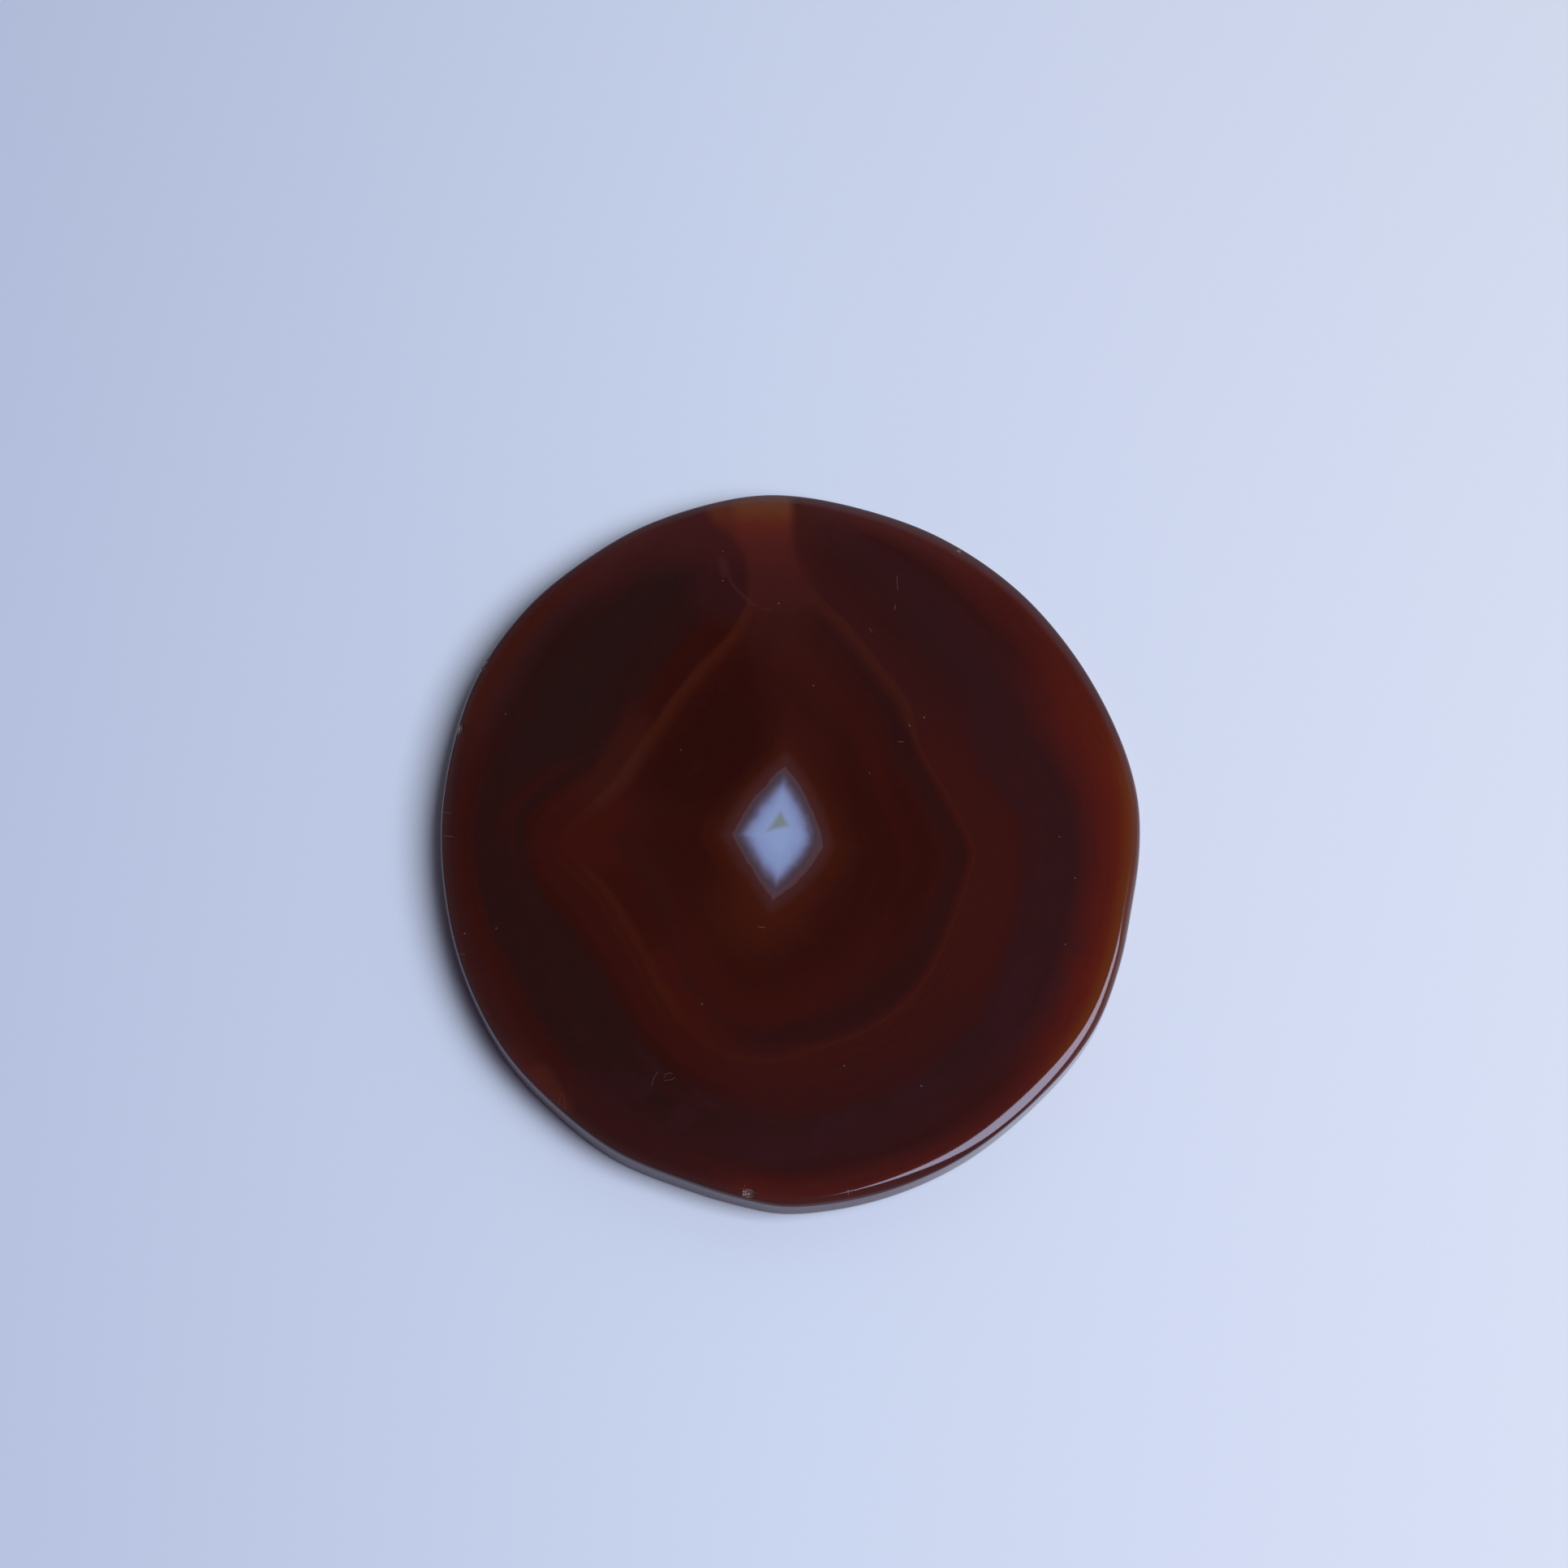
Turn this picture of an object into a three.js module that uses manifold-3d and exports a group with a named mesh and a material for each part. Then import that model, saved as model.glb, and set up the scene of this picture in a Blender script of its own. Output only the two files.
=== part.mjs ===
// A flat, polished slice cut straight across a nodule of banded agate.
// It lies on its lower face at z = 0 with the middle of its outline on the z axis. Sizes are millimetres, +Z up.
// The bands, the pale diamond and the infiltration channel are only colour inside the stone, so they aren't shaped.

import * as THREE from 'three';
import { mergeVertices } from 'three/addons/utils/BufferGeometryUtils.js';
import Module from 'manifold-3d';

// Main sizes
const THICKNESS = 6.0;
const LOWER_ROUNDING = 0.7;

// How finely the rim is faceted
const RIM_COLUMNS = 180;
const UPPER_STEPS = 7;
const LOWER_STEPS = 4;

// The stone's natural outline, seen from above and read anticlockwise from +X.
// Each row is a bearing in degrees, the reach from the middle there and the radius of the polished upper edge.
const OUTLINE = [
  [0, 45.7, 1.3],
  [9, 46.1, 1.2],
  [20, 45.9, 1.1],
  [35, 45.9, 1.2],
  [50, 46.4, 1.3],
  [65, 46.9, 1.3],
  [80, 47.4, 1.3],
  [91, 48.1, 1.2],
  [99, 48.0, 1.2],
  [112, 47.5, 1.1],
  [122, 47.0, 1.0],
  [135, 46.7, 0.9],
  [149, 46.1, 0.8],
  [160, 45.2, 0.6],
  [175, 44.3, 0.5],
  [190, 43.9, 0.5],
  [203, 44.1, 0.5],
  [217, 44.5, 0.4],
  [230, 44.6, 0.4],
  [242, 45.1, 0.5],
  [254, 45.2, 0.5],
  [264, 46.0, 0.7],
  [271, 46.6, 0.9],
  [285, 46.4, 1.3],
  [300, 46.1, 1.3],
  [317, 45.8, 1.3],
  [329, 46.0, 1.2],
  [340, 45.5, 1.2],
  [350, 45.2, 1.3],
];

// Shell-shaped flakes lost from the upper edge.
// Each row is a bearing in degrees, how far in from the rim the flake's middle is, then its half-length along the rim,
// its half-width inward and its depth below the polished face.
const FLAKES = [
  [60.4, 0.4, 0.4, 0.4, 0.6],
  [149, 0.25, 1.0, 0.35, 0.5],
  [160.6, 0.2, 0.45, 0.5, 0.6],
  [264, 0.75, 1.0, 0.75, 0.3],
];

// How far above the polished face the middle of a flake's ball is
const FLAKE_LIFT = 0.02;

// The body colour of the stone, seen as a whole
const STONE = { name: 'agate', color: 0x3d1a16, roughness: 0.2, metalness: 0 };

/** Rim points round the stone as (x, y, edge radius), evenly spaced and centred on their own box. */
function rimColumns() {
  const corners = OUTLINE.map(([bearing, reach, edgeRadius]) => {
    const angle = THREE.MathUtils.degToRad(bearing);
    return new THREE.Vector3(reach * Math.cos(angle), reach * Math.sin(angle), edgeRadius);
  });
  const rim = new THREE.CatmullRomCurve3(corners, true, 'centripetal');
  const columns = rim.getSpacedPoints(RIM_COLUMNS).slice(0, RIM_COLUMNS);
  const middle = new THREE.Box3().setFromPoints(columns).getCenter(new THREE.Vector3());
  middle.z = 0;
  return columns.map((column) => column.sub(middle));
}

/** The stone's section from its axis over the upper edge and back under it, as (reach, height) points. */
function section(reach, edgeRadius) {
  const points = [new THREE.Vector2(0, THICKNESS)];
  for (let step = 0; step <= UPPER_STEPS; step += 1) {
    const angle = (step / UPPER_STEPS) * Math.PI / 2;
    const inset = edgeRadius * (1 - Math.sin(angle));
    const drop = edgeRadius * (1 - Math.cos(angle));
    points.push(new THREE.Vector2(reach - inset, THICKNESS - drop));
  }
  for (let step = 0; step <= LOWER_STEPS; step += 1) {
    const angle = (step / LOWER_STEPS) * Math.PI / 2;
    const inset = LOWER_ROUNDING * (1 - Math.cos(angle));
    const height = LOWER_ROUNDING * (1 - Math.sin(angle));
    points.push(new THREE.Vector2(reach - inset, height));
  }
  points.push(new THREE.Vector2(0, 0));
  return points.reverse();
}

/** A round blank with every column of it drawn out to the stone's own reach and edge. */
function blankSlice(columns) {
  const roundSection = section(1, LOWER_ROUNDING);
  const blank = new THREE.LatheGeometry(roundSection, RIM_COLUMNS);
  const position = blank.getAttribute('position');
  for (let turn = 0; turn <= RIM_COLUMNS; turn += 1) {
    const column = columns[turn % RIM_COLUMNS];
    const reach = Math.hypot(column.x, column.y);
    section(reach, column.z).forEach((point, row) => {
      const share = point.x / reach;
      position.setXYZ(turn * roundSection.length + row, column.x * share, column.y * share, point.y);
    });
  }
  return blank;
}

/** One flake to cut away: a squashed ball centred just above the face and turned to lie along the rim. */
function flake(columns, [bearing, inset, halfLength, halfWidth, depth]) {
  const angle = THREE.MathUtils.degToRad(bearing);
  const outward = new THREE.Vector2(Math.cos(angle), Math.sin(angle));
  const nearest = columns.reduce((best, column) => {
    const closer = outward.dot(column) / Math.hypot(column.x, column.y)
      > outward.dot(best) / Math.hypot(best.x, best.y);
    return closer ? column : best;
  });
  const reach = Math.hypot(nearest.x, nearest.y) - inset;
  const ball = new THREE.IcosahedronGeometry(1, 2);
  ball.scale(halfWidth, halfLength, depth + FLAKE_LIFT);
  ball.rotateZ(angle);
  ball.translate(outward.x * reach, outward.y * reach, THICKNESS + FLAKE_LIFT);
  return ball;
}

/** A closed solid from a geometry whose surface meets itself everywhere. */
function solidOf(wasm, geometry) {
  geometry.deleteAttribute('normal');
  geometry.deleteAttribute('uv');
  const merged = mergeVertices(geometry, 1e-5);
  const corners = merged.index.array;
  const triangles = [];
  for (let first = 0; first < corners.length; first += 3) {
    const [a, b, c] = corners.slice(first, first + 3);
    if (a !== b && b !== c && c !== a) {
      triangles.push(a, b, c);
    }
  }
  return new wasm.Manifold(new wasm.Mesh({
    numProp: 3,
    vertProperties: new Float32Array(merged.getAttribute('position').array),
    triVerts: new Uint32Array(triangles),
  }));
}

/** The named mesh of a finished solid. */
function meshOf(name, solid, finish) {
  const { numProp, vertProperties, triVerts } = solid.getMesh();
  const geometry = new THREE.BufferGeometry();
  geometry.setAttribute('position', new THREE.BufferAttribute(new Float32Array(vertProperties), numProp));
  geometry.setIndex(new THREE.BufferAttribute(new Uint32Array(triVerts), 1));
  geometry.computeVertexNormals();
  const mesh = new THREE.Mesh(geometry, new THREE.MeshStandardMaterial(finish));
  mesh.name = name;
  return mesh;
}

const wasm = await Module();
wasm.setup();

const columns = rimColumns();
let slice = solidOf(wasm, blankSlice(columns));
for (const row of FLAKES) {
  slice = slice.subtract(solidOf(wasm, flake(columns, row)));
}

const part = new THREE.Group();
part.name = 'polished_agate_slice';
part.add(meshOf('agate_slice', slice, STONE));

export default part;
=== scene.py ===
import math

import bmesh
import bpy
import numpy as np
from mathutils import Matrix, Vector


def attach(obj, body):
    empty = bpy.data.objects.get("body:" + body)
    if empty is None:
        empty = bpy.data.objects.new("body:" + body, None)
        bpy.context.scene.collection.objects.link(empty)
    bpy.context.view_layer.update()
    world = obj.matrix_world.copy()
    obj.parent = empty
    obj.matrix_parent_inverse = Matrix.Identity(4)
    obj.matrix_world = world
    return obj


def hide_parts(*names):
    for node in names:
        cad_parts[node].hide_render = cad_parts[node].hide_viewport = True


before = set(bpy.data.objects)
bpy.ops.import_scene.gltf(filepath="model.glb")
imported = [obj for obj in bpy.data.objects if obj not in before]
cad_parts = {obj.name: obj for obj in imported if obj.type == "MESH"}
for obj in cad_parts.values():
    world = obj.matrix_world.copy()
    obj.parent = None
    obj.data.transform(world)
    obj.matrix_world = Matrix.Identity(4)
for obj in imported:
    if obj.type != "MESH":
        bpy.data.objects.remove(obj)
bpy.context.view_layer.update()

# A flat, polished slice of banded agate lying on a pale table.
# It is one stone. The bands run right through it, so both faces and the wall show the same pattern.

# Sizes in millimetres unless a comment says otherwise
MM = 0.001
THICKNESS = 6.0
LOWER_ROUNDING = 0.7

# How finely the stone is made
RIM_COLUMNS = 480
RIM_WAVES = 45
EDGE_WAVES = 18
UPPER_EDGE_STEPS = 14
WALL_STEPS = 4
LOWER_EDGE_STEPS = 6
BORDER_RING = 0.1
RING_SPACING = 0.7
HALVING_REACHES = (24.0, 12.0, 6.0, 3.0)
INNERMOST_REACH = 1.2

# The polished upper edge: degrees anticlockwise from +X, how far it reaches in there and how far it falls
UPPER_EDGE = [
    (0, 1.2, 1.6),
    (20, 1.3, 1.0),
    (45, 1.7, 0.8),
    (70, 1.6, 0.8),
    (100, 1.4, 0.9),
    (122, 1.2, 0.8),
    (149, 0.8, 0.8),
    (168, 0.4, 1.8),
    (215, 0.35, 2.2),
    (246, 0.45, 2.4),
    (256, 0.4, 1.6),
    (264, 0.6, 1.0),
    (272, 0.95, 1.1),
    (285, 1.7, 1.1),
    (300, 2.0, 0.6),
    (320, 1.55, 0.8),
    (335, 1.15, 1.3),
    (345, 1.1, 2.0),
    (352, 1.15, 1.9),
]

# Flakes lost from the upper edge: bearing, how far in from the rim, half-length along it, half-width inward,
# depth and paleness
# The paleness is partly the break's own pale colour and partly a painted glint on it
FLAKES = [
    (60.7, 0.4, 0.45, 0.35, 0.6, 0.5),
    (149, 0.25, 1.0, 0.35, 0.5, 0.15),
    (160.6, 0.6, 0.65, 0.4, 0.35, 0.28),
    (263.5, 0.85, 0.8, 0.6, 0.3, 0.27),
]

# How far above the polished face the middle of a flake's ball is
FLAKE_LIFT = 0.02

# Where the outer violet band ends, from the rim left of the channel, round the stone, to the rim right of it
VIOLET_END = [
    (-13.4, 50.0), (-13.2, 45.1), (-13.2, 40.3), (-11.9, 36.2), (-12.7, 32.2), (-15.8, 28.2), (-19.1, 23.1),
    (-22.8, 14.3), (-25.1, 10.0), (-28.3, 7.5), (-31.5, 5.2), (-33.6, 2.6), (-33.8, 0.0), (-33.0, -3.6),
    (-31.4, -6.9), (-28.4, -10.3), (-25.8, -13.8), (-23.4, -17.5), (-21.0, -21.8), (-19.0, -25.3),
    (-16.3, -28.3), (-13.5, -30.6), (-9.4, -32.6), (-4.5, -34.6), (1.3, -34.9), (7.9, -33.5), (14.5, -30.7),
    (21.0, -25.3), (24.2, -22.1), (26.9, -16.4), (29.2, -8.5), (30.0, -1.9), (29.4, 2.9), (26.5, 7.2),
    (24.2, 10.5), (22.0, 15.9), (19.6, 19.8), (14.6, 25.9), (9.8, 32.2), (6.0, 36.8), (4.1, 39.3),
    (2.8, 42.6), (2.2, 46.2), (2.0, 50.0),
]

# The thin orange line, from the left side of the channel, round the middle, to its right side
ORANGE_LINE = [
    (-12.0, 50.0), (-10.0, 45.1), (-7.3, 41.5), (-5.4, 38.1), (-5.0, 34.4), (-5.2, 32.3), (-6.3, 30.0),
    (-7.7, 27.6), (-11.4, 23.6), (-14.7, 19.5), (-16.9, 16.1), (-19.7, 11.9), (-22.4, 7.7), (-25.5, 4.5),
    (-28.6, 1.6), (-29.0, -0.6), (-26.7, -3.3), (-23.9, -6.3), (-21.8, -9.5), (-18.7, -15.0),
    (-16.9, -18.8), (-15.1, -21.9), (-13.2, -24.1), (-11.1, -26.3), (-6.9, -28.3), (-2.0, -28.7),
    (1.3, -27.7), (7.9, -25.6), (13.5, -22.2), (17.8, -17.2), (20.6, -10.9), (22.7, -5.1), (23.5, -1.5),
    (22.6, 1.2), (19.5, 7.3), (16.7, 12.4), (15.1, 18.3), (11.1, 24.1), (7.2, 29.2), (4.0, 32.4),
    (1.3, 35.4), (0.1, 39.7), (-0.1, 46.0), (-0.1, 50.0),
]

# The infiltration channel that leads in from the top of the rim
CHANNEL = [
    (-12.0, 50.0), (-10.8, 45.6), (-9.6, 43.2), (-7.5, 41.6), (-5.4, 38.8), (-4.9, 35.9), (-5.1, 33.9),
    (-4.1, 31.6), (-1.5, 30.8), (2.8, 32.1), (1.7, 35.3), (0.5, 37.6), (0.0, 39.7), (-0.1, 43.8),
    (-0.1, 46.9), (-0.1, 50.0),
]

# The pale diamond: its corners anticlockwise from the top, and how far the side after each corner bulges
DIAMOND = [
    ((-0.7, 9.85), 0.6),
    ((-7.4, 0.9), 0.2),
    ((-2.2, -7.6), 0.7),
    ((4.1, -0.6), 0.75),
]
BAND_CENTRE = (-1.5, 1.0)
TAN_SPOT = [(-1.24, 4.1), (-3.0, 1.35), (-0.2, 2.05)]

# Specks of dust and small pits on the polished face: x, y and radius
SPECKS = [
    (-11.2, -21.4, 0.13),
    (6.8, -29.4, 0.12),
    (16.5, -32.0, 0.13),
    (15.4, 15.5, 0.13),
    (17.3, 16.6, 0.14),
    (3.0, 20.9, 0.12),
    (-8.8, 35.2, 0.12),
    (-8.8, 39.3, 0.1),
    (-1.5, 32.1, 0.13),
    (-37.5, -11.5, 0.12),
    (-41.5, -12.2, 0.14),
    (-36.8, 17.0, 0.1),
    (-14.1, 12.2, 0.1),
    (34.5, 0.6, 0.1),
    (36.4, -4.9, 0.11),
    (35.0, -13.6, 0.1),
    (10.2, 9.1, 0.1),
]

# Hair scratches on the polished face: start, end and half-width
SCRATCHES = [
    ((13.9, 35.9), (14.0, 33.9), 0.035),
    ((13.7, 31.9), (13.6, 31.2), 0.05),
    ((10.3, 28.7), (10.6, 28.1), 0.04),
    ((-4.1, -11.3), (-3.3, -11.4), 0.05),
    ((13.9, 13.3), (14.6, 13.3), 0.05),
    ((-16.8, -30.2), (-17.3, -31.0), 0.03),
    ((-17.3, -31.0), (-17.4, -31.6), 0.03),
    ((-17.4, -31.6), (-17.5, -32.0), 0.03),
    ((-16.0, -31.0), (-15.8, -30.5), 0.025),
    ((-15.8, -30.5), (-15.3, -30.3), 0.035),
    ((-15.3, -30.3), (-14.9, -30.4), 0.03),
    ((-14.6, -30.9), (-15.0, -31.2), 0.03),
    ((-15.0, -31.2), (-15.9, -31.3), 0.03),
    ((7.2, -45.3), (7.3, -46.0), 0.06),
    ((-44.6, 3.9), (-43.6, 3.7), 0.04),
    ((-44.4, 0.7), (-43.2, 0.6), 0.04),
    ((-42.2, -14.9), (-41.4, -14.9), 0.04),
]

# Pale wisps inside the stone at the foot of the channel: start, end and half-width
WISPS = [
    ((-8.9, 38.0), (-8.5, 36.3), 0.6),
    ((-8.1, 35.8), (-7.2, 34.2), 0.2),
    ((-7.0, 34.0), (-5.4, 32.5), 0.25),
    ((-5.4, 32.2), (-4.2, 31.7), 0.15),
    ((-3.6, 31.4), (-2.4, 31.3), 0.12),
]

# The curved crack at the lower left of the rim
CRACK = [(-29.2, -34.3), (-28.9, -32.9), (-28.5, -33.3), (-28.4, -34.9)]

# Where the stone glows beside the crack: start and end
CRACK_SIDE = [(-31.6, -30.2), (-28.6, -34.6)]


# Shapes

def column_turns():
    """The bearing of every column of the rim, in radians."""
    return np.arange(RIM_COLUMNS) * (math.tau / RIM_COLUMNS)


def even_round(bearings, values, waves):
    """One value for every column of the rim, run smoothly through values known at some bearings."""
    spectrum = np.fft.rfft(np.interp(column_turns(), bearings, values, period=math.tau))
    spectrum[waves:] = 0
    return np.fft.irfft(spectrum, RIM_COLUMNS)


def rim_reach(node):
    """How far the stone reaches from its axis at each column, read from the frame's own widest ring."""
    corners = np.array([corner.co for corner in node.data.vertices]) / MM
    ring = corners[np.abs(corners[:, 2] - LOWER_ROUNDING) < 0.01]
    bearings = np.arctan2(ring[:, 1], ring[:, 0])
    order = np.argsort(bearings)
    return even_round(bearings[order], np.hypot(ring[:, 0], ring[:, 1])[order], RIM_WAVES)


def edge_sizes():
    """How far the polished edge reaches in and falls at each column."""
    bearings = np.radians([row[0] for row in UPPER_EDGE])
    reach_in = even_round(bearings, [row[1] for row in UPPER_EDGE], EDGE_WAVES)
    fall = even_round(bearings, [row[2] for row in UPPER_EDGE], EDGE_WAVES)
    return reach_in, fall


def section_rings(reach):
    """The stone's section from the lower face up the wall and over the edge, as (reach, height) rings."""
    reach_in, fall = edge_sizes()
    rings = []
    for step in range(LOWER_EDGE_STEPS + 1):
        turn = math.pi / 2 * step / LOWER_EDGE_STEPS
        height = np.full(RIM_COLUMNS, LOWER_ROUNDING * (1 - math.cos(turn)))
        rings.append((reach - LOWER_ROUNDING * (1 - math.sin(turn)), height))
    for step in range(1, WALL_STEPS):
        share = step / WALL_STEPS
        rings.append((reach, LOWER_ROUNDING + share * (THICKNESS - fall - LOWER_ROUNDING)))
    for step in range(UPPER_EDGE_STEPS + 1):
        turn = math.pi / 2 * (1 - step / UPPER_EDGE_STEPS)
        rings.append((reach - reach_in * (1 - math.sin(turn)), THICKNESS - fall * (1 - math.cos(turn))))
    return rings


def face_rings(reach, height):
    """Rings from a face's border to the axis: one close to the border, then RING_SPACING or less apart."""
    level = np.full(RIM_COLUMNS, height)
    border = reach - BORDER_RING
    yield border, level
    steps = math.ceil((border.max() - INNERMOST_REACH) / RING_SPACING)
    for step in range(1, steps + 1):
        yield border * (1 - step / steps * (1 - INNERMOST_REACH / border.mean())), level


def column_of(corner):
    """Which column of the rim a corner stands on."""
    turn = math.atan2(corner.co.y, corner.co.x) / math.tau
    return round(turn * RIM_COLUMNS) % RIM_COLUMNS


def place(corners, reach, height):
    """Sets a ring's corners out to their reach and up to their height."""
    for corner in corners:
        column = column_of(corner)
        turn = math.tau * column / RIM_COLUMNS
        corner.co = Vector((
            reach[column] * math.cos(turn) * MM,
            reach[column] * math.sin(turn) * MM,
            height[column] * MM,
        ))


def draw_out(shape, ring, reach, height):
    """Extrudes a ring of edges, places the new ring, and gives it back."""
    made = bmesh.ops.extrude_edge_only(shape, edges=ring)["geom"]
    place([item for item in made if isinstance(item, bmesh.types.BMVert)], reach, height)
    return [item for item in made if isinstance(item, bmesh.types.BMEdge)]


def halve(shape, ring, spacing):
    """Welds every second corner of a ring to its neighbour, which keeps the columns apart near the axis."""
    corners = {column_of(corner): corner for edge in ring for corner in edge.verts}
    pairs = {
        corner: corners[column - spacing]
        for column, corner in corners.items()
        if column // spacing % 2
    }
    kept = set(corners.values()) - set(pairs)
    bmesh.ops.weld_verts(shape, targetmap=pairs)
    return [
        edge
        for edge in {edge for corner in kept for edge in corner.link_edges}
        if edge.is_boundary
    ]


def close_face(shape, ring, reach, height):
    """Fills a flat face from its border to the axis."""
    spacing = 1
    halvings = list(HALVING_REACHES)
    for ring_reach, ring_height in face_rings(reach, height):
        ring = draw_out(shape, ring, ring_reach, ring_height)
        if halvings and ring_reach.mean() < halvings[0]:
            ring = halve(shape, ring, spacing)
            spacing *= 2
            halvings.pop(0)
    middle = bmesh.ops.extrude_edge_only(shape, edges=ring)["geom"]
    corners = [item for item in middle if isinstance(item, bmesh.types.BMVert)]
    bmesh.ops.pointmerge(shape, verts=corners, merge_co=Vector((0, 0, height * MM)))


def flake_ball(reach, row):
    """The squashed ball that knocks one flake off the upper edge: its centre, bearing and sizes."""
    bearing, inset, half_length, half_width, depth, _ = row
    column = round(bearing / 360 * RIM_COLUMNS) % RIM_COLUMNS
    turn = math.radians(bearing)
    flake_reach = reach[column] - inset
    centre = Vector((flake_reach * math.cos(turn), flake_reach * math.sin(turn), THICKNESS + FLAKE_LIFT))
    return centre, turn, (half_width, half_length, depth + FLAKE_LIFT)


def flake_mesh(paleness, centre, turn, sizes):
    """A squashed, faintly rippled ball that carries how pale the break is, partly its own paleness and
    partly a painted glint.
    """
    shape = bmesh.new()
    bmesh.ops.create_icosphere(shape, subdivisions=4, radius=MM)
    for corner in shape.verts:
        x, y, z = (value / MM for value in corner.co)
        corner.co *= 1 + 0.08 * math.sin(7 * x + 3 * y) + 0.07 * math.sin(9 * z - 5 * y)
    bmesh.ops.scale(shape, vec=sizes, verts=shape.verts)
    bmesh.ops.rotate(shape, matrix=Matrix.Rotation(turn, 3, "Z"), verts=shape.verts)
    bmesh.ops.translate(shape, vec=centre * MM, verts=shape.verts)
    mesh = bpy.data.meshes.new("flake")
    shape.to_mesh(mesh)
    shape.free()
    write_marks(mesh, "FACE", {"broken": np.full(len(mesh.polygons), paleness)})
    return mesh


def chip_away(piece, mesh):
    """Cuts one flake out of the piece and leaves no cutter behind."""
    ball = bpy.data.objects.new("flake", mesh)
    bpy.context.scene.collection.objects.link(ball)
    cut = piece.modifiers.new("flake", "BOOLEAN")
    cut.operation = "DIFFERENCE"
    cut.solver = "EXACT"
    cut.object = ball
    whole = bpy.data.meshes.new_from_object(piece.evaluated_get(bpy.context.evaluated_depsgraph_get()))
    piece.modifiers.clear()
    piece.data = whole
    bpy.data.objects.remove(ball)


def write_marks(mesh, domain, marks):
    """Writes named values to the corners or the faces of a mesh."""
    for name, values in marks.items():
        layer = mesh.attributes.new(name, "FLOAT", domain)
        layer.data.foreach_set("value", values.astype(np.float32))


def make_slice(node):
    """The whole stone as one closed mesh."""
    reach = rim_reach(node)
    rings = section_rings(reach)
    shape = bmesh.new()
    bmesh.ops.create_circle(shape, segments=RIM_COLUMNS, radius=MM)
    place(list(shape.verts), *rings[0])
    lower_border = list(shape.edges)
    ring = lower_border
    for ring_reach, ring_height in rings[1:]:
        ring = draw_out(shape, ring, ring_reach, ring_height)
    close_face(shape, ring, rings[-1][0], THICKNESS)
    close_face(shape, lower_border, rings[0][0], 0.0)
    bmesh.ops.remove_doubles(shape, verts=shape.verts, dist=0.001 * MM)
    bmesh.ops.recalc_face_normals(shape, faces=shape.faces)
    mesh = bpy.data.meshes.new("polished_agate_slice")
    shape.to_mesh(mesh)
    shape.free()
    write_marks(mesh, "FACE", {"broken": np.zeros(len(mesh.polygons))})
    piece = bpy.data.objects.new("polished_agate_slice", mesh)
    bpy.context.scene.collection.objects.link(piece)
    for row in FLAKES:
        chip_away(piece, flake_mesh(row[-1], *flake_ball(reach, row)))
    return piece, reach


# Bands

def smooth_line(corners, steps=8):
    """A rounded run of points through the corners of an open line."""
    points = np.array(corners)
    padded = np.vstack([2 * points[0] - points[1], points, 2 * points[-1] - points[-2]])
    before, start, end, after = padded[:-3], padded[1:-2], padded[2:-1], padded[3:]
    runs = []
    for share in np.arange(steps) / steps:
        runs.append(0.5 * (
            2 * start
            + (end - before) * share
            + (2 * before - 5 * start + 4 * end - after) * share ** 2
            + (3 * start - before - 3 * end + after) * share ** 3
        ))
    return np.vstack([np.stack(runs, axis=1).reshape(-1, 2), points[-1:]])


def reach_inside(places, line):
    """Signed distance of each place from an open line, positive on the side that the line closes round."""
    nearest = np.full(len(places), np.inf)
    inside = np.zeros(len(places), bool)
    starts, ends = line, np.roll(line, -1, axis=0)
    for number, (start, end) in enumerate(zip(starts, ends)):
        run = end - start
        if number < len(line) - 1:
            share = np.clip((places - start) @ run / max(run @ run, 1e-9), 0, 1)
            away = places - start - share[:, None] * run
            nearest = np.minimum(nearest, np.hypot(away[:, 0], away[:, 1]))
        crosses = (start[1] > places[:, 1]) != (end[1] > places[:, 1])
        if run[1]:
            side = start[0] + run[0] * (places[:, 1] - start[1]) / run[1]
            inside ^= crosses & (places[:, 0] < side)
    return np.where(inside, nearest, -nearest)


def diamond_sides():
    """Each side of the diamond as the centre and radius of its arc."""
    sides = []
    for number, (corner, bulge) in enumerate(DIAMOND):
        start = np.array(corner)
        end = np.array(DIAMOND[(number + 1) % len(DIAMOND)][0])
        chord = end - start
        length = np.hypot(*chord)
        radius = (length ** 2 / 4 + bulge ** 2) / (2 * bulge)
        outward = np.array((chord[1], -chord[0])) / length
        sides.append(((start + end) / 2 - outward * (radius - bulge), radius))
    return sides


def mark_bands(piece, reach):
    """Writes to every corner of the mesh how far it is from each band, for the material to follow."""
    mesh = piece.data
    corners = np.zeros(len(mesh.vertices) * 3)
    mesh.vertices.foreach_get("co", corners)
    places = corners.reshape(-1, 3)[:, :2] / MM
    turns = column_turns()
    outline = np.column_stack([reach * np.cos(turns), reach * np.sin(turns)])
    rim = np.maximum(reach_inside(places, np.vstack([outline, outline[:1]])), 0)
    violet = reach_inside(places, smooth_line(VIOLET_END))
    line = reach_inside(places, smooth_line(ORANGE_LINE))
    channel = reach_inside(places, smooth_line(CHANNEL))
    gem = np.max([np.hypot(*(places - centre).T) - radius for centre, radius in diamond_sides()], axis=0)
    gem = np.maximum(gem, 0)
    outer = rim / np.maximum(rim + np.abs(violet), 0.01)
    middle = 1 + np.abs(violet) / np.maximum(np.abs(violet) + np.abs(line), 0.01)
    inner = 2 + np.maximum(line, 0) / np.maximum(line + gem, 0.01)
    stage = np.where(line > 0, inner, np.where(violet > 0, middle, outer))
    marks = {"stage": stage, "rim": rim, "violet": violet, "line": line, "channel": channel}
    write_marks(mesh, "POINT", marks)


# Materials

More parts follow.
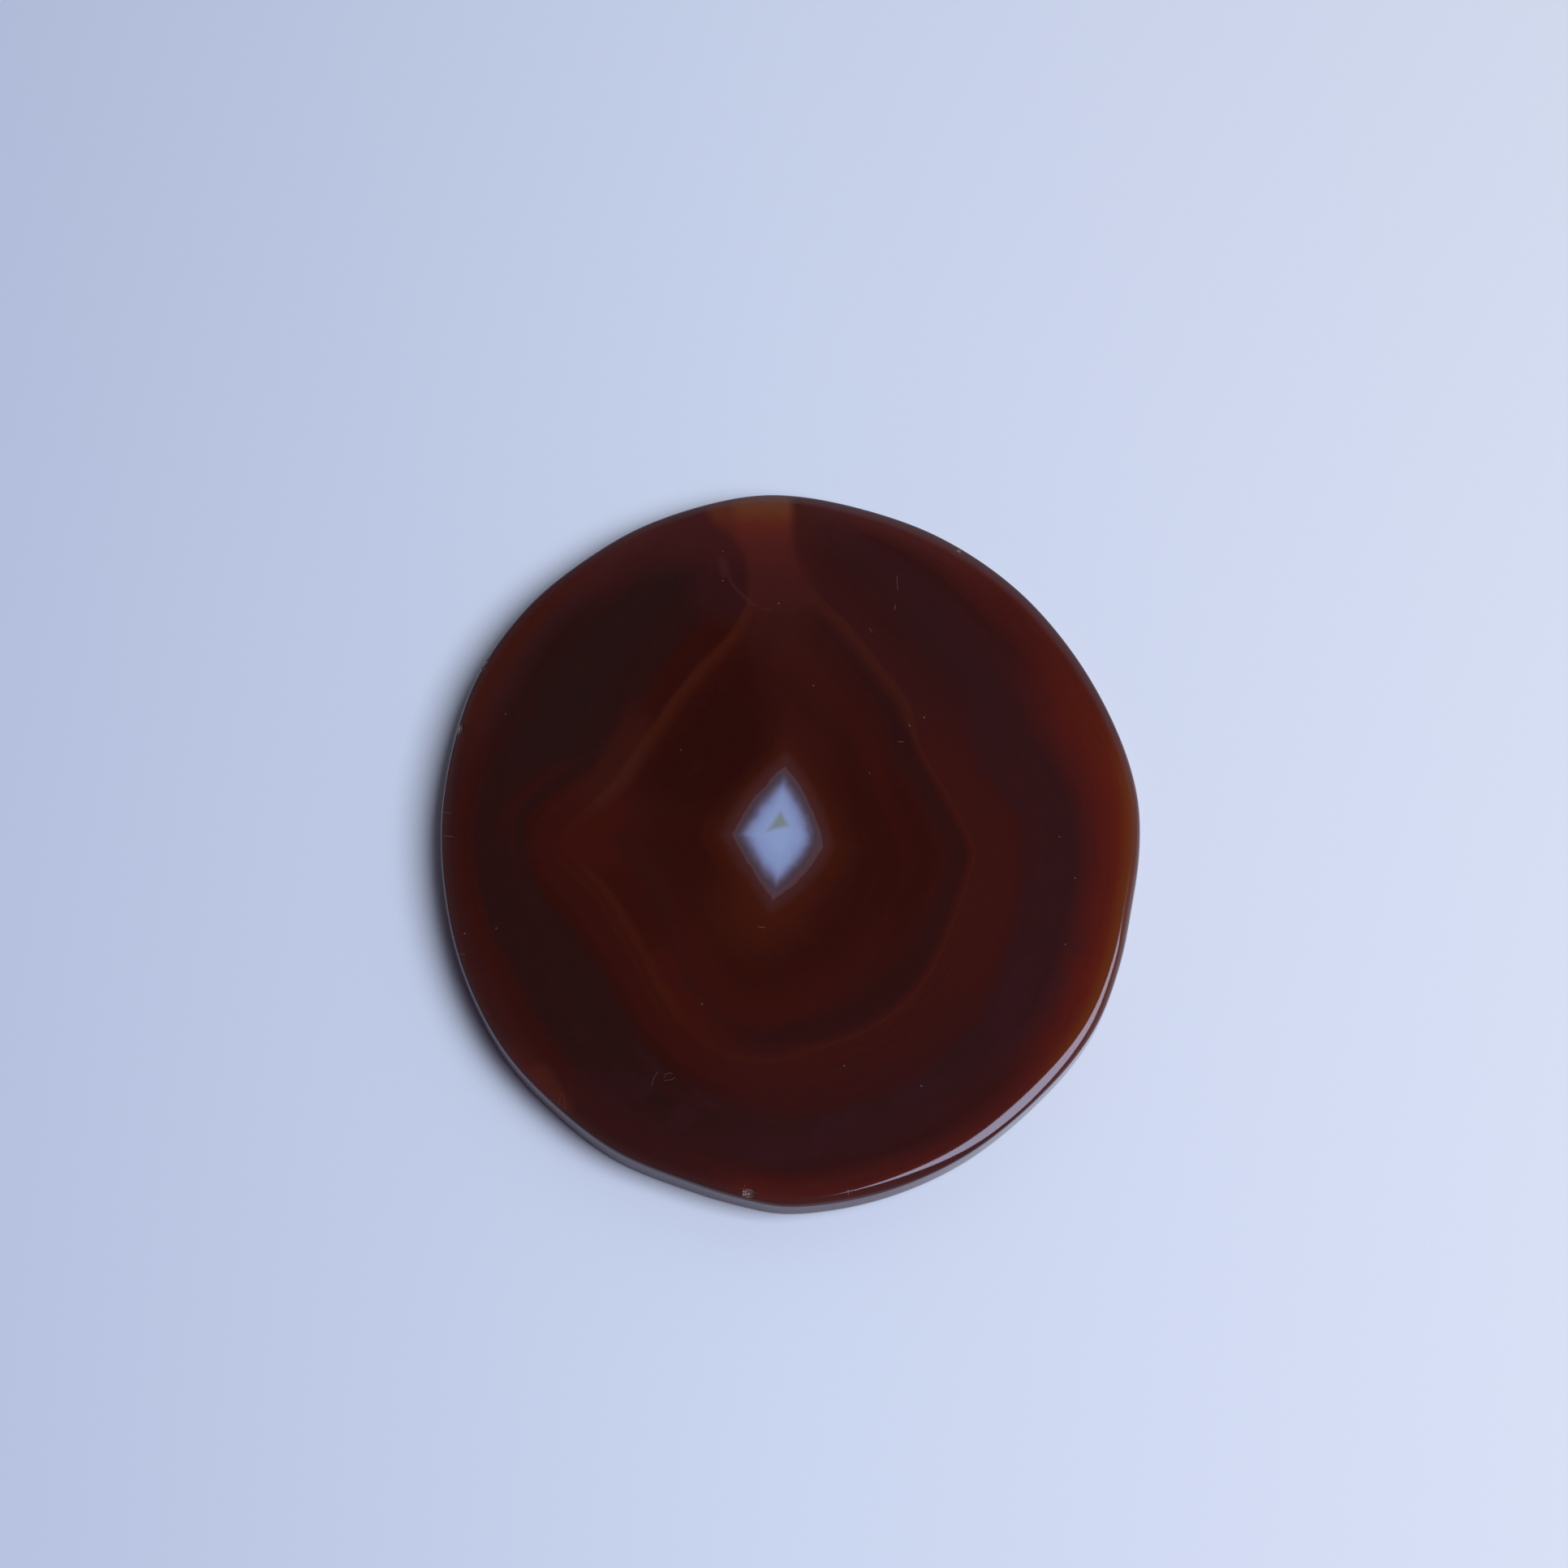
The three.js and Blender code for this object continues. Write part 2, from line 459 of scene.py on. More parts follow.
class Value:
    """A shader socket that Python's own signs of arithmetic work on."""

    def __init__(self, bench, socket):
        self.bench = bench
        self.socket = socket

    def __add__(self, other):
        return self.bench.maths("ADD", self, other)

    def __radd__(self, other):
        return self.bench.maths("ADD", other, self)

    def __sub__(self, other):
        return self.bench.maths("SUBTRACT", self, other)

    def __rsub__(self, other):
        return self.bench.maths("SUBTRACT", other, self)

    def __mul__(self, other):
        return self.bench.maths("MULTIPLY", self, other)

    def __rmul__(self, other):
        return self.bench.maths("MULTIPLY", other, self)

    def __truediv__(self, other):
        return self.bench.maths("DIVIDE", self, other)

    def __rtruediv__(self, other):
        return self.bench.maths("DIVIDE", other, self)


class Bench:
    """Where one material is put together."""

    def __init__(self, name, material=None):
        self.material = material or bpy.data.materials.new(name)
        self.material.use_nodes = True
        self.tree = self.material.node_tree
        self.tree.nodes.clear()

    def node(self, kind, settings=None, inlets=None, outlet=0):
        """Adds a node: its settings first, then a value or a link for each named or numbered socket."""
        made = self.tree.nodes.new(kind)
        for name, setting in (settings or {}).items():
            if name == "stops":
                self.set_stops(made.color_ramp.elements, setting)
            else:
                setattr(made, name, setting)
        for name, value in (inlets or {}).items():
            if isinstance(value, Value):
                self.tree.links.new(value.socket, made.inputs[name])
            else:
                made.inputs[name].default_value = value
        return Value(self, made.outputs[outlet] if made.outputs else None)

    def set_stops(self, elements, stops):
        """Gives a colour ramp its (share, paint) stops, the first and last of which it already has."""
        for share, paint in stops[1:-1]:
            elements.new(share).color = paint
        elements[0].color, elements[-1].color = stops[0][1], stops[-1][1]

    def maths(self, operation, *values):
        """A Math node on numbers or values."""
        return self.node("ShaderNodeMath", {"operation": operation}, dict(enumerate(values)))

    def most(self, first, *others):
        """The largest of some values."""
        for other in others:
            first = self.maths("MAXIMUM", first, other)
        return first

    def rise(self, value, start, end):
        """0 before start, 1 after end and smooth in between."""
        inlets = {"Value": value, "From Min": start, "From Max": end}
        return self.node("ShaderNodeMapRange", {"interpolation_type": "SMOOTHSTEP"}, inlets)

    def fall(self, value, start, end):
        """1 before start, 0 after end and smooth in between."""
        return 1 - self.rise(value, start, end)

    def swell(self, value, start, full, leave, end):
        """0 outside start and end, 1 from full to leave."""
        return self.rise(value, start, full) * self.fall(value, leave, end)

    def layer(self, colour, paint, mask):
        """A paint laid over a colour where the mask is 1."""
        return self.node("ShaderNodeMix", {"data_type": "RGBA"}, {0: mask, 6: colour, 7: paint}, 2)

    def ramp(self, value, stops):
        """A colour that changes with a value through (value, paint) stops."""
        low, high = stops[0][0], stops[-1][0]
        shares = [((place_of - low) / (high - low), paint) for place_of, paint in stops]
        return self.node("ShaderNodeValToRGB", {"stops": shares}, {0: (value - low) / (high - low)})

    def mark(self, name):
        """One of the values written to the mesh."""
        return self.node("ShaderNodeAttribute", {"attribute_name": name}, outlet=2)

    def noise(self, place_of, scale, detail=2.0, roughness=0.5):
        """Clouds between about -0.5 and 0.5."""
        inlets = {"Vector": place_of, "Scale": scale, "Detail": detail, "Roughness": roughness}
        return self.node("ShaderNodeTexNoise", None, inlets) - 0.5

    def vectors(self, operation, first, second, outlet=0):
        """A Vector Math node; its outlet 1 is a number."""
        return self.node("ShaderNodeVectorMath", {"operation": operation}, {0: first, 1: second}, outlet)

    def apart(self, place_of, point):
        """Distance in millimetres from a point."""
        return self.vectors("DISTANCE", place_of, (*point, 0.0), 1)

    def stroke(self, place_of, start, end, half_width):
        """1 on a short straight stroke, fading out past its half-width."""
        run = np.array(end) - np.array(start)
        here = self.vectors("SUBTRACT", place_of, (*start, 0.0))
        share = self.vectors("DOT_PRODUCT", here, (*(run / (run @ run)).tolist(), 0.0), 1)
        share = self.node("ShaderNodeClamp", None, {0: share})
        inlets = {0: (*run.tolist(), 0.0), 3: share}
        along = self.node("ShaderNodeVectorMath", {"operation": "SCALE"}, inlets)
        return self.fall(self.vectors("DISTANCE", here, along, 1), half_width * 0.4, half_width * 1.6)

    def towards(self, x, y, bearing, full, none):
        """1 within full degrees of a bearing from the middle of the bands, 0 beyond none degrees."""
        turn = math.radians(bearing)
        across, up = x - BAND_CENTRE[0], y - BAND_CENTRE[1]
        away = self.maths("SQRT", across * across + up * up + 0.5)
        share = (across * math.cos(turn) + up * math.sin(turn)) / away
        return self.rise(share, math.cos(math.radians(none)), math.cos(math.radians(full)))


# How rough the polish is, and how much rougher a break, dust and the wall at the lower left are
POLISH_ROUGHNESS = 0.08
BREAK_ROUGHNESS = 0.35
DUST_ROUGHNESS = 0.3
WALL_ROUGHNESS = 0.25

# How much of the studio light the stone's paint and its polish send back, in red, green and blue
LIGHT_ON_STONE = (0.824, 0.853, 1.188)
GLOSS_ON_STONE = (0.0005, 0.0003, 0.0005)


def seen(*levels):
    """The base colour that looks like these red, green and blue levels of 255 in the studio light."""
    paint = []
    for level, light, gloss in zip(levels, LIGHT_ON_STONE, GLOSS_ON_STONE):
        share = level / 255
        bright = share / 12.92 if share <= 0.04045 else ((share + 0.055) / 1.055) ** 2.4
        paint.append(max(bright - gloss, 0) / light)
    return (*paint, 1.0)


# Orange of the rind at the right: partly its own colour, partly painted glow of light shining through the
# rim
RIND_ORANGE_AND_GLOW = seen(94, 46, 21)
RIND_EMBER = seen(84, 29, 18)
RIND_SCARLET = seen(76, 23, 18)
RIND_RED = seen(69, 25, 22)
RIND_CLARET = seen(61, 22, 21)
RIND_ROSE = seen(66, 31, 30)
DEEP_ROSE = seen(58, 24, 25)
RIND_PLUM = seen(47, 20, 21)
RIND_BROWN = seen(57, 22, 17)
RIND_DULL = seen(49, 22, 22)
# Grey of the polished edge: painted shade and a painted sheen of the room
EDGE_SHADE_AND_SHEEN = seen(58, 44, 50)
# Plum on the wall at the lower left: a painted reflection of the table
WALL_PLUM_REFLECTION = seen(66, 27, 56)
PLUM = seen(47, 20, 22)
DEEP_PLUM = seen(44, 20, 21)
VIOLET = seen(48, 22, 28)
SMOKE = seen(36, 19, 18)
DUSK = seen(39, 17, 16)
RUST = seen(49, 18, 18)
RED_RUST = seen(52, 18, 17)
WARM_RUST = seen(55, 19, 16)
BRICK = seen(51, 16, 12)
SCARLET = seen(57, 17, 12)
MAROON = seen(46, 14, 10)
DEEP_MAROON = seen(42, 13, 10)
INNER_PLUM = seen(42, 17, 16)
LINE_ORANGE = seen(63, 25, 14)
LINE_SALMON = seen(63, 29, 24)
EMBER = seen(63, 24, 13)
ROSE = seen(59, 24, 21)
CHANNEL_FOOT = seen(60, 24, 23)
CHANNEL_RED = seen(72, 28, 26)
CHANNEL_CORAL = seen(83, 33, 25)
CHANNEL_ORANGE = seen(91, 48, 29)
CHANNEL_PALE = seen(88, 55, 48)
WISP = seen(78, 46, 50)
GEM_HALO = seen(66, 36, 36)
GEM_RIM = seen(77, 55, 62)
GEM_MAUVE = seen(68, 56, 68)
GEM_SLATE = seen(79, 69, 87)
GEM_STEEL = seen(91, 88, 115)
GEM_BLUE = seen(104, 109, 147)
GEM_MILK = seen(116, 128, 169)
GEM_PALE = seen(125, 141, 184)
GEM_CORE = seen(132, 150, 195)
TAN = seen(114, 123, 119)
# Pale of a break: partly its own colour, partly a painted glint
BREAK_PALE_AND_GLINT = seen(142, 136, 128)
CRACK_GLOW = seen(84, 38, 22)
DUST = seen(130, 100, 98)


def bands(bench, x, y, stage):
    """The bands' colours: stage 0 is the rim, 1 the violet's end, 2 the line and 3 the diamond."""
    colour = bench.ramp(stage, [
        (0.0, RIND_RED), (0.11, RIND_RED), (0.22, RIND_CLARET), (0.36, RUST), (0.48, PLUM),
        (0.85, DEEP_PLUM), (0.98, RUST), (1.4, RED_RUST), (1.9, WARM_RUST), (2.03, RED_RUST),
        (2.15, INNER_PLUM), (2.35, BRICK), (2.6, MAROON), (2.78, BRICK), (2.98, EMBER),
    ])
    # At the right the rind's ember and scarlet are partly the stone's own colour and partly painted glow of
    # the light shining through the rim
    eastern = bench.ramp(stage, [
        (0.0, RIND_EMBER), (0.14, RIND_EMBER), (0.3, RIND_SCARLET), (0.45, RIND_CLARET), (0.58, PLUM),
        (0.95, PLUM), (1.05, RED_RUST), (1.4, WARM_RUST), (1.97, WARM_RUST), (2.3, MAROON), (2.7, MAROON),
        (2.98, EMBER),
    ])
    western = bench.ramp(stage, [
        (0.0, RIND_DULL), (0.11, RIND_DULL), (0.27, BRICK), (0.42, DUSK), (0.93, DUSK), (1.05, MAROON),
        (1.3, BRICK), (1.9, BRICK), (2.05, SCARLET), (2.3, BRICK), (2.55, MAROON), (2.75, MAROON),
        (2.98, EMBER),
    ])
    north_western = bench.ramp(stage, [
        (0.0, RIND_BROWN), (0.13, RIND_BROWN), (0.22, RIND_DULL), (0.34, DUSK), (0.55, SMOKE), (0.72, SMOKE),
        (0.95, DUSK), (1.15, DUSK), (1.5, MAROON), (2.1, MAROON), (2.25, DEEP_MAROON), (2.5, DEEP_MAROON),
        (2.78, DEEP_MAROON), (2.98, EMBER),
    ])
    colour = bench.layer(colour, eastern, bench.towards(x, y, 355, 18, 48))
    colour = bench.layer(colour, western, bench.towards(x, y, 206, 34, 62))
    return bench.layer(colour, north_western, bench.towards(x, y, 128, 20, 44))


def striations(bench, colour, x, y, stage, drift):
    """Thin darker and brighter streaks that run along the bands."""
    along = bench.node("ShaderNodeCombineXYZ", None, {0: stage * 9 + drift * 8, 1: x * 0.03, 2: y * 0.03})
    streak = bench.noise(along, 1.0, 3.0, 0.6)
    calm = 1 - 0.6 * bench.towards(x, y, 128, 20, 44)
    colour = bench.layer(colour, SMOKE, bench.rise(streak, 0.03, 0.2) * 0.3 * calm)
    return bench.layer(colour, SCARLET, bench.rise(0 - streak, 0.03, 0.2) * 0.3 * calm)


def rind(bench, colour, x, y, rim):
    """The outermost millimetres: orange at the right, partly the rind's own colour and partly painted glow
    of the light shining through the rim from the right; rose at the top, claret and plum by the crack.
    """
    # The orange at the right is partly the rind's own colour and partly painted glow of the light shining
    # through the rim from the right
    orange = bench.swell(rim, -0.6, 0.7, 0.8, 3.0) * bench.towards(x, y, 347, 12, 35)
    colour = bench.layer(colour, RIND_ORANGE_AND_GLOW, orange)
    top = bench.towards(x, y, 103, 14, 34)
    colour = bench.layer(colour, DEEP_ROSE, bench.fall(rim, 3.0, 8.5) * top * 0.75)
    rosy = bench.fall(rim, 1.0, 4.0) * bench.towards(x, y, 88, 18, 42)
    colour = bench.layer(colour, RIND_ROSE, rosy * 0.7)
    north_east = bench.fall(rim, 3.0, 9.0) * bench.towards(x, y, 34, 8, 26)
    colour = bench.layer(colour, SCARLET, north_east * 0.3)
    crack_side = bench.fall(rim, 0.8, 4.0) * bench.towards(x, y, 226, 4, 9)
    colour = bench.layer(colour, RIND_CLARET, crack_side * 0.8)
    lower_left = bench.fall(rim, 4.0, 8.0) * bench.towards(x, y, 246, 8, 20)
    return bench.layer(colour, RIND_PLUM, lower_left * 0.75)


def patches(bench, colour, place_of, x, y, line, violet):
    """The brighter and darker places that only one side of a band has."""
    left_corner = bench.towards(x, y, 181, 3, 16)
    colour = bench.layer(colour, SCARLET, left_corner * bench.swell(line, -2.0, 0.8, 2.5, 6.5) * 0.65)
    lower_left = bench.towards(x, y, 208, 6, 22) * bench.swell(line, 0.2, 1.0, 3.0, 6.0)
    colour = bench.layer(colour, MAROON, lower_left * 0.75)
    streaks = bench.swell(violet, -4.0, -3.2, -2.6, -1.4) * bench.towards(x, y, 171, 4, 12)
    colour = bench.layer(colour, BRICK, streaks * 0.38)
    outside = bench.fall(line, -0.5, 0.5) * bench.rise(violet, -1.0, 0.5) * bench.towards(x, y, 154, 8, 22)
    colour = bench.layer(colour, BRICK, outside * 0.55)
    colour = bench.layer(colour, LINE_SALMON, outside * bench.rise(line, -6.0, -2.0) * 0.25)
    smile = bench.swell(line, 3.0, 5.0, 6.5, 9.0) * bench.towards(x, y, 256, 14, 42)
    colour = bench.layer(colour, SCARLET, smile * 0.35)
    middle = bench.rise(violet, -0.5, 2.0) * bench.fall(line, -0.5, 0.5)
    colour = bench.layer(colour, PLUM, middle * bench.towards(x, y, 64, 16, 38) * 0.4)
    plum_side = bench.swell(line, 0.3, 1.3, 2.6, 4.4) * bench.towards(x, y, 350, 50, 86)
    colour = bench.layer(colour, INNER_PLUM, plum_side * 0.85)
    under_channel = bench.rise(y, 21.0, 31.0) * bench.swell(x, -8.0, -4.0, 0.0, 5.0)
    colour = bench.layer(colour, ROSE, under_channel * 0.6)
    light_side = bench.swell(x, -6.0, 0.5, 4.0, 9.0) * bench.rise(y, 8.0, 13.0) * bench.fall(y, 24.0, 32.0)
    colour = bench.layer(colour, ROSE, light_side * 0.22)
    beside_foot = bench.fall(bench.apart(place_of, (-8.8, 34.0)), 2.0, 6.5) * bench.fall(line, -0.6, 0.6)
    colour = bench.layer(colour, PLUM, beside_foot * 0.8)
    beside_channel = bench.swell(x, -22.0, -13.0, -5.0, -3.0) * bench.rise(y, 34.5, 40.5)
    return bench.layer(colour, DEEP_ROSE, beside_channel * 0.75)


def thin_line(bench, colour, x, y, line):
    """The orange line: broad at the upper left, thin and crisp at the right, faint at the left corner."""
    upper_left = bench.towards(x, y, 132, 28, 44)
    left_end = bench.towards(x, y, 162, 8, 22)
    upper_right = bench.towards(x, y, 66, 18, 34)
    lower_left = bench.towards(x, y, 222, 18, 38)
    left_corner = bench.towards(x, y, 181, 3, 13)
    bottom = bench.towards(x, y, 262, 8, 24)
    outer_width = 0.3 + bench.most(
        0.45 * upper_left, 0.6 * left_end, 0.35 * upper_right, 0.7 * lower_left, 0.4 * bottom,
    )
    inner_width = outer_width + bench.most(
        1.4 * upper_left, 1.0 * left_end, 1.5 * upper_right, 0.4 * lower_left,
    )
    strength = 0.62 + 0.06 * upper_left - 0.14 * upper_right - 0.2 * lower_left
    strength = strength - 0.5 * left_corner - 0.3 * bottom
    mask = bench.fall(line / inner_width, 0.1, 1.0) * bench.fall((0 - line) / outer_width, 0.1, 1.0)
    salmon = bench.most(left_end, upper_right, bench.rise(y, 26.0, 34.0))
    colour = bench.layer(colour, bench.layer(LINE_ORANGE, LINE_SALMON, salmon * 0.6), mask * strength)
    second = bench.swell(line, -2.0, -1.5, -1.2, -0.7) * bench.towards(x, y, 214, 18, 34)
    return bench.layer(colour, LINE_ORANGE, second * 0.22)


def infiltration(bench, colour, place_of, x, y, channel):
    """The red channel that leads in from the top of the rim, and the pale wisps at its foot."""
    left_shoulder = bench.fall(x, -8.5, -6.0)
    across = bench.rise(channel, -1.2, 0.6) * (1 - 0.45 * left_shoulder)
    column = bench.ramp(y, [
        (31.0, CHANNEL_FOOT), (35.5, CHANNEL_FOOT), (40.5, CHANNEL_RED), (43.0, CHANNEL_CORAL),
        (45.0, CHANNEL_ORANGE), (46.8, CHANNEL_PALE), (48.0, CHANNEL_PALE),
    ])
    colour = bench.layer(colour, column, across * bench.rise(y, 29.0, 34.0))
    wisps = 0.0
    for start, end, half_width in WISPS:
        wisps = bench.most(wisps, bench.stroke(place_of, start, end, half_width))
    return bench.layer(colour, WISP, wisps * 0.17)


def crack(bench, colour, place_of):
    """The short curved crack in the rim, with the stone glowing beside it."""
    glow = bench.stroke(place_of, *CRACK_SIDE, 1.1)
    colour = bench.layer(colour, CRACK_GLOW, glow * 0.22)
    edge = 0.0
    for start, end in zip(CRACK, CRACK[1:]):
        edge = bench.most(edge, bench.stroke(place_of, start, end, 0.09))
    return bench.layer(colour, CRACK_GLOW, edge * 0.55)


def gem(bench, colour, place_of, x, y):
    """The pale diamond in the middle with its halo, the tan spot in it and the orange glow below it."""
    sides = [bench.apart(place_of, centre.tolist()) - radius for centre, radius in diamond_sides()]
    away = bench.most(*sides) + bench.noise(place_of, 0.5) * 0.7
    glow = bench.fall(bench.apart(place_of, (-4.4, -9.0)), 1.0, 10.0)
    colour = bench.layer(colour, EMBER, glow * 0.6)
    colour = bench.layer(colour, GEM_HALO, bench.fall(away, 0.3, 2.1) * 0.85)
    deep = away + 0.45 * bench.towards(x, y, 305, 25, 60)
    stone = bench.ramp(deep, [
        (-4.1, GEM_CORE), (-2.5, GEM_PALE), (-1.95, GEM_MILK), (-1.55, GEM_BLUE), (-1.25, GEM_STEEL),
        (-0.9, GEM_SLATE), (-0.5, GEM_MAUVE), (0.0, GEM_RIM),
    ])
    colour = bench.layer(colour, stone, bench.fall(away, -0.05, 0.25))
    tan_sides = []
    for number, corner in enumerate(TAN_SPOT):
        run = np.array(TAN_SPOT[(number + 1) % 3]) - np.array(corner)
        outward = np.array((run[1], -run[0])) / np.hypot(*run)
        tan_sides.append(x * float(outward[0]) + y * float(outward[1]) - float(outward @ corner))
    return bench.layer(colour, TAN, bench.fall(bench.most(*tan_sides), -0.5, 0.4) * 0.9)


def clouds(bench, colour, place_of, x, y, rim, violet, mottle):
    """Soft dark clouds everywhere inside the rind, and violet ones in the outer band at the bottom."""
    inside = bench.rise(rim, 2.5, 7.0)
    colour = bench.layer(colour, DEEP_PLUM, bench.rise(mottle, 0.02, 0.2) * inside * 0.25)
    violet_side = bench.fall(violet, -2.0, 0.0) * bench.towards(x, y, 292, 35, 80)
    violet_clouds = bench.rise(bench.noise(place_of, 0.2), -0.06, 0.12) * inside * violet_side
    return bench.layer(colour, VIOLET, violet_clouds * 0.45)


def rim_shades(bench, colour, x, y, rim, height, low, mottle):
    """Painted shade and a painted grey sheen of the room on the polished edge, and a painted plum reflection
    on the wall at the lower left.
    """
    # Painted shade and a painted grey sheen of the room on the polished edge, stronger at the top and the
    # upper left
    edge = bench.fall(rim, 0.1, 1.7) * bench.rise(height, 1.0, THICKNESS)
    sheen_sides = bench.most(bench.towards(x, y, 35, 60, 100), bench.towards(x, y, 150, 15, 40))
    colour = bench.layer(colour, EDGE_SHADE_AND_SHEEN, edge * (0.35 + 0.2 * sheen_sides))
    # The wall at the lower left gets a painted plum reflection of the table
    return bench.layer(colour, WALL_PLUM_REFLECTION, low * (0.7 + mottle))


def marks(bench, place_of, height):
    """Dust, pits and hair scratches, on the polished face alone."""
    dust = 0.0
    for speck_x, speck_y, radius in SPECKS:
        away = bench.apart(place_of, (speck_x, speck_y))
        dust = bench.most(dust, bench.fall(away, radius * 0.4, radius * 1.1))
    for start, end, half_width in SCRATCHES:
        dust = bench.most(dust, bench.stroke(place_of, start, end, half_width) * 0.6)
    return dust * bench.rise(height, THICKNESS - 0.3, THICKNESS - 0.1)


def agate():
    """The stone: banded, faintly see-through and polished."""
    bench = Bench("agate")
    where = bench.vectors("MULTIPLY", bench.node("ShaderNodeTexCoord", outlet=3), (1 / MM, 1 / MM, 1 / MM))
    flat = bench.vectors("MULTIPLY", where, (1.0, 1.0, 0.0))
    x, y, height = (bench.node("ShaderNodeSeparateXYZ", None, {0: where}, outlet) for outlet in range(3))
    cloud = bench.noise(flat, 0.08)
    mottle = bench.noise(flat, 0.35, 3.0, 0.55)
    grain = bench.noise(flat, 1.1, 4.0, 0.6)
    rim, violet, line, channel = (bench.mark(name) for name in ("rim", "violet", "line", "channel"))
    drift = cloud * 0.06 + mottle * 0.04 + grain * 0.015
    stage = bench.mark("stage") + drift

    colour = bands(bench, x, y, stage)
    colour = striations(bench, colour, x, y, stage, drift)
    colour = clouds(bench, colour, flat, x, y, rim, violet, mottle)
    colour = rind(bench, colour, x, y, rim)
    colour = patches(bench, colour, flat, x, y, line + grain * 0.3, violet)
    colour = thin_line(bench, colour, x, y, line + mottle * 0.3)
    colour = infiltration(bench, colour, flat, x + mottle, y + mottle, channel + mottle * 0.6)
    colour = crack(bench, colour, flat)
    colour = gem(bench, colour, flat, x, y)
    # low marks the wall at the lower left, which gets the painted plum reflection and a rougher polish
    low = bench.fall(rim, 0.0, 0.45) * bench.fall(height, 4.4, 5.8) * bench.towards(x, y, 235, 45, 75)
    colour = rim_shades(bench, colour, x, y, rim, height, low, mottle)

    broken = bench.mark("broken")
    dust = marks(bench, flat, height)
    # Breaks are paler: partly their own colour and partly a painted glint
    colour = bench.layer(colour, BREAK_PALE_AND_GLINT, broken * (0.6 + grain * 1.5))
    colour = bench.layer(colour, DUST, dust * 0.4)
    dull = BREAK_ROUGHNESS * broken + DUST_ROUGHNESS * dust + WALL_ROUGHNESS * low
    ripple = cloud + broken * grain * 4
    bump = bench.node("ShaderNodeBump", None, {"Strength": 0.05, "Distance": 0.0002, "Height": ripple})
    shader = bench.node("ShaderNodeBsdfPrincipled", None, {
        "Base Color": colour,
        "Roughness": POLISH_ROUGHNESS + 0.02 * grain + dull,
        "IOR": 1.5,
        "Specular IOR Level": 0.37,
        "Normal": bump,
        "Subsurface Weight": 0.15,
        "Subsurface Radius": (1.0, 0.45, 0.35),
        "Subsurface Scale": 0.0008,
    })
    bench.node("ShaderNodeOutputMaterial", None, {"Surface": shader})
    return bench.material


# The table's colour from left to right, darker at the left: painted light and shade on top of the softbox's
# own fall-off, with a slight shift of hue; millimetres from the middle of the stone, and the paint there
TABLE_PAINTS_AND_LIGHT = [
    (-110.0, (0.591, 0.668, 0.669, 1.0)),
    (0.0, (0.669, 0.737, 0.689, 1.0)),
    (110.0, (0.702, 0.744, 0.654, 1.0)),
]


def table_top():
    """The plain pale surface under the stone, painted darker at the left and lighter at the right as light
    and shade.
    """
    bench = Bench("pale table")
    where = bench.vectors("MULTIPLY", bench.node("ShaderNodeTexCoord", outlet=3), (1 / MM, 1 / MM, 1 / MM))
    x = bench.node("ShaderNodeSeparateXYZ", None, {0: where})
    colour = bench.ramp(x, TABLE_PAINTS_AND_LIGHT)
    shader = bench.node("ShaderNodeBsdfPrincipled", None, {
        "Base Color": colour,
        "Roughness": 0.6,
        "Specular IOR Level": 0.15,
    })
    bench.node("ShaderNodeOutputMaterial", None, {"Surface": shader})
    return bench.material


# The studio

# The camera: degrees above the table, and millimetres
CAMERA_ELEVATION = 74.0
CAMERA_DISTANCE = 560.4
CAMERA_TARGET = (-0.82, 7.63, 6.0)
LENS = 100.0
SENSOR_WIDTH = 36.0

# The table and the light: metres, degrees and watts
TABLE_SIZE = 8.0
LIGHT_BEARING = -15.0
LIGHT_ELEVATION = 60.0
LIGHT_DISTANCE = 1.0
LIGHT_WIDTH = 0.56
LIGHT_DEPTH = 0.7
LIGHT_POWER = 10.3
LIGHT_COLOUR = (0.93, 0.965, 1.345)

# The dim room: its colour at the height of the table, above it and overhead, and a glow at the upper right
ROOM_LOW = (0.36, 0.18, 0.3, 1.0)
ROOM_MIDDLE = (0.13, 0.1, 0.17, 1.0)
ROOM_HIGH = (0.02, 0.018, 0.03, 1.0)
ROOM_GLOW = (0.5, 0.52, 0.62, 1.0)
GLOW_DIRECTION = (0.39, 0.84, 0.37)


def photographer():
    """The camera, at the height and tilt that the photograph was taken from."""
    camera = bpy.data.cameras.new("camera")
    camera.lens = LENS
    camera.sensor_width = SENSOR_WIDTH
    seat = bpy.data.objects.new("camera", camera)
    bpy.context.scene.collection.objects.link(seat)
    tilt = math.radians(CAMERA_ELEVATION)
    back = Vector((0, -math.cos(tilt), math.sin(tilt)))
    seat.location = (Vector(CAMERA_TARGET) + back * CAMERA_DISTANCE) * MM
    seat.rotation_euler = (-back).to_track_quat("-Z", "Y").to_euler()
    bpy.context.scene.camera = seat


